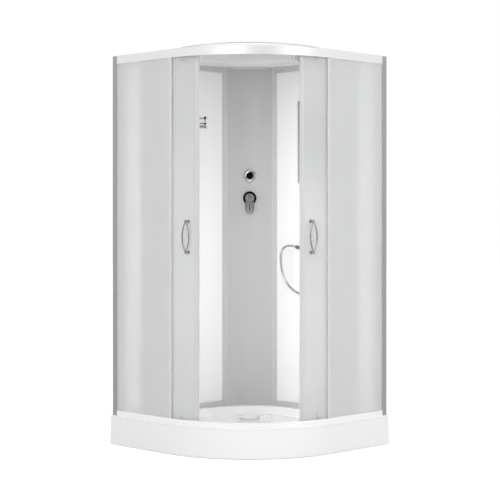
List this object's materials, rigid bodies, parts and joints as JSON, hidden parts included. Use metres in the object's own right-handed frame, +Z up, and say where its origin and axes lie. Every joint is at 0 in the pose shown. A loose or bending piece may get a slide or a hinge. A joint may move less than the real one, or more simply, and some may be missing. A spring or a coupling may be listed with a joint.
{
  "type": "quadrant shower cabin",
  "caption": "Quadrant shower cabin with frosted sliding doors, tray, rear walls, roof, mixer, hand shower, mirror and shelf.",
  "frame": {"origin": "middle of the bounding box, on the floor", "axes": "-Y to the front of the cabin, on its diagonal; +X to the viewer's right; +Z up"},
  "size_m": [1.4184, 1.1894, 2.038],
  "materials": {
    "tray_acrylic": "white sanitary acrylic",
    "apron_acrylic": "white sanitary acrylic",
    "frame_steel": "zinc grey painted steel tube",
    "stud_steel": "zinc plated",
    "pad_plastic": "black plastic",
    "waste_plastic": "white plastic",
    "trap_plastic": "white plastic",
    "cover_chrome": "polished chrome",
    "frame_aluminium": "satin silver",
    "stopper_rubber": "black rubber",
    "frosted_glass": "frosted toughened glass",
    "seal_plastic": "grey soft plastic",
    "wall_panel": "white wall panel",
    "column_panel": "white wall panel",
    "roof_acrylic": "white acrylic",
    "fitting_chrome": "polished chrome",
    "pipe_plastic": "braided supply pipe",
    "mirror_glass": "silvered glass",
    "shelf_glass": "clear toughened glass",
    "hose_chrome": "wound metal hose",
    "body_brass": "cast brass",
    "carrier_plastic": "grey plastic",
    "wheel_nylon": "white nylon"
  },
  "bodies": {
    "cabin": {"tray": "tray_acrylic", "tray_apron": "apron_acrylic", "tray_frame": "frame_steel", "foot_studs": "stud_steel", "foot_pads": "pad_plastic", "waste_body": "waste_plastic", "waste_trap": "trap_plastic", "left_post": "frame_aluminium", "right_post": "frame_aluminium", "top_rail": "frame_aluminium", "bottom_rail": "frame_aluminium", "rail_stoppers": "stopper_rubber", "fixed_glass_left": "frosted_glass", "fixed_glass_right": "frosted_glass", "fixed_glass_gaskets": "seal_plastic", "rear_wall_left": "wall_panel", "rear_wall_right": "wall_panel", "wall_top_profiles": "frame_aluminium", "wall_bottom_profiles": "frame_aluminium", "column_panel": "column_panel", "column_profiles": "frame_aluminium", "roof": "roof_acrylic", "overhead_stem": "fitting_chrome", "feed_pipes": "pipe_plastic", "mirror": "mirror_glass", "mirror_clips": "fitting_chrome", "shelf_glass": "shelf_glass", "shelf_brackets": "fitting_chrome", "shelf_rails": "fitting_chrome", "hose_outlet": "fitting_chrome", "shower_hose": "hose_chrome", "handset_bracket": "fitting_chrome", "mixer_body": "body_brass", "mixer_plate": "fitting_chrome", "diverter_body": "body_brass", "diverter_plate": "fitting_chrome"},
    "door_left": {"door_glass_left": "frosted_glass", "door_seals_left": "seal_plastic", "door_handle_left": "fitting_chrome", "door_carriers_left": "carrier_plastic"},
    "door_right": {"door_glass_right": "frosted_glass", "door_seals_right": "seal_plastic", "door_handle_right": "fitting_chrome", "door_carriers_right": "carrier_plastic"},
    "mixer_swivel_body": {"mixer_swivel": "fitting_chrome"},
    "mixer_lever_body": {"mixer_lever": "fitting_chrome"},
    "diverter_knob_body": {"diverter_knob": "fitting_chrome"},
    "overhead_head_body": {"overhead_head": "fitting_chrome"},
    "handset_body": {"handset": "fitting_chrome", "handset_clip": "fitting_chrome"},
    "waste_cover_body": {"waste_cover": "cover_chrome"},
    "roller_right_lead": {"roller_right_lead": "wheel_nylon"},
    "roller_right_trail": {"roller_right_trail": "wheel_nylon"},
    "guide_right_lead": {"guide_right_lead": "wheel_nylon"},
    "guide_right_trail": {"guide_right_trail": "wheel_nylon"},
    "roller_left_lead": {"roller_left_lead": "wheel_nylon"},
    "roller_left_trail": {"roller_left_trail": "wheel_nylon"},
    "guide_left_lead": {"guide_left_lead": "wheel_nylon"},
    "guide_left_trail": {"guide_left_trail": "wheel_nylon"}
  },
  "joints": [
    {"name": "door_right_slide", "type": "hinge", "parent": "cabin", "child": "door_right", "pos_m": [-0.0625, 0.08993, 1], "axis": [0, 0, -1], "range_deg": [0, 22.09]},
    {"name": "roller_right_lead_spin", "type": "hinge", "parent": "door_right", "child": "roller_right_lead", "pos_m": [0.32316, -0.43236, 1.9528], "axis": [0.5488, -0.8359, 0], "range_deg": [0, 1370]},
    {"name": "roller_right_trail_spin", "type": "hinge", "parent": "door_right", "child": "roller_right_trail", "pos_m": [0.46216, -0.29654, 1.9528], "axis": [0.823, -0.568, 0], "range_deg": [0, 1380]},
    {"name": "guide_right_lead_spin", "type": "hinge", "parent": "door_right", "child": "guide_right_lead", "pos_m": [0.32316, -0.43236, 0.1603], "axis": [0.5488, -0.8359, 0], "range_deg": [0, 1790]},
    {"name": "guide_right_trail_spin", "type": "hinge", "parent": "door_right", "child": "guide_right_trail", "pos_m": [0.46216, -0.29654, 0.1603], "axis": [0.823, -0.568, 0], "range_deg": [0, 1800]},
    {"name": "door_left_slide", "type": "hinge", "parent": "cabin", "child": "door_left", "pos_m": [0.0625, 0.08993, 1], "axis": [0, 0, 1], "range_deg": [0, 22.09]},
    {"name": "roller_left_lead_spin", "type": "hinge", "parent": "door_left", "child": "roller_left_lead", "pos_m": [-0.32316, -0.43236, 1.9528], "axis": [-0.5488, -0.8359, 0], "range_deg": [-1370, 0]},
    {"name": "roller_left_trail_spin", "type": "hinge", "parent": "door_left", "child": "roller_left_trail", "pos_m": [-0.46216, -0.29654, 1.9528], "axis": [-0.823, -0.568, 0], "range_deg": [-1380, 0]},
    {"name": "guide_left_lead_spin", "type": "hinge", "parent": "door_left", "child": "guide_left_lead", "pos_m": [-0.32316, -0.43236, 0.1603], "axis": [-0.5488, -0.8359, 0], "range_deg": [-1790, 0]},
    {"name": "guide_left_trail_spin", "type": "hinge", "parent": "door_left", "child": "guide_left_trail", "pos_m": [-0.46216, -0.29654, 0.1603], "axis": [-0.823, -0.568, 0], "range_deg": [-1800, 0]},
    {"name": "mixer_temperature", "type": "hinge", "parent": "cabin", "child": "mixer_swivel_body", "pos_m": [0, 0.4299, 1.262], "axis": [0, -1, 0], "range_deg": [-45, 45]},
    {"name": "mixer_flow", "type": "hinge", "parent": "mixer_swivel_body", "child": "mixer_lever_body", "pos_m": [0, 0.4239, 1.262], "axis": [-1, 0, 0], "range_deg": [0, 20]},
    {"name": "diverter_turn", "type": "hinge", "parent": "cabin", "child": "diverter_knob_body", "pos_m": [0, 0.4299, 1.384], "axis": [0, -1, 0], "range_deg": [-90, 90]},
    {"name": "overhead_tilt", "type": "hinge", "parent": "cabin", "child": "overhead_head_body", "pos_m": [0.31, -0.0457, 1.998], "axis": [1, 0, 0], "range_deg": [0, 25]},
    {"name": "handset_tilt", "type": "hinge", "parent": "cabin", "child": "handset_body", "pos_m": [0.47023, 0.03255, 1.705], "axis": [0.7071, -0.7071, 0], "range_deg": [-15, 20]},
    {"name": "waste_cover_lift", "type": "slide", "parent": "cabin", "child": "waste_cover_body", "axis": [0, 0, 1], "range_m": [0, 0.03]}
  ],
  "couplings": [
    {"joint": "roller_right_lead_spin", "follows": "door_right_slide", "ratio": 61.739},
    {"joint": "roller_right_trail_spin", "follows": "door_right_slide", "ratio": 62.031},
    {"joint": "guide_right_lead_spin", "follows": "door_right_slide", "ratio": 81.032},
    {"joint": "guide_right_trail_spin", "follows": "door_right_slide", "ratio": 81.416},
    {"joint": "roller_left_lead_spin", "follows": "door_left_slide", "ratio": -61.739},
    {"joint": "roller_left_trail_spin", "follows": "door_left_slide", "ratio": -62.031},
    {"joint": "guide_left_lead_spin", "follows": "door_left_slide", "ratio": -81.032},
    {"joint": "guide_left_trail_spin", "follows": "door_left_slide", "ratio": -81.416}
  ]
}
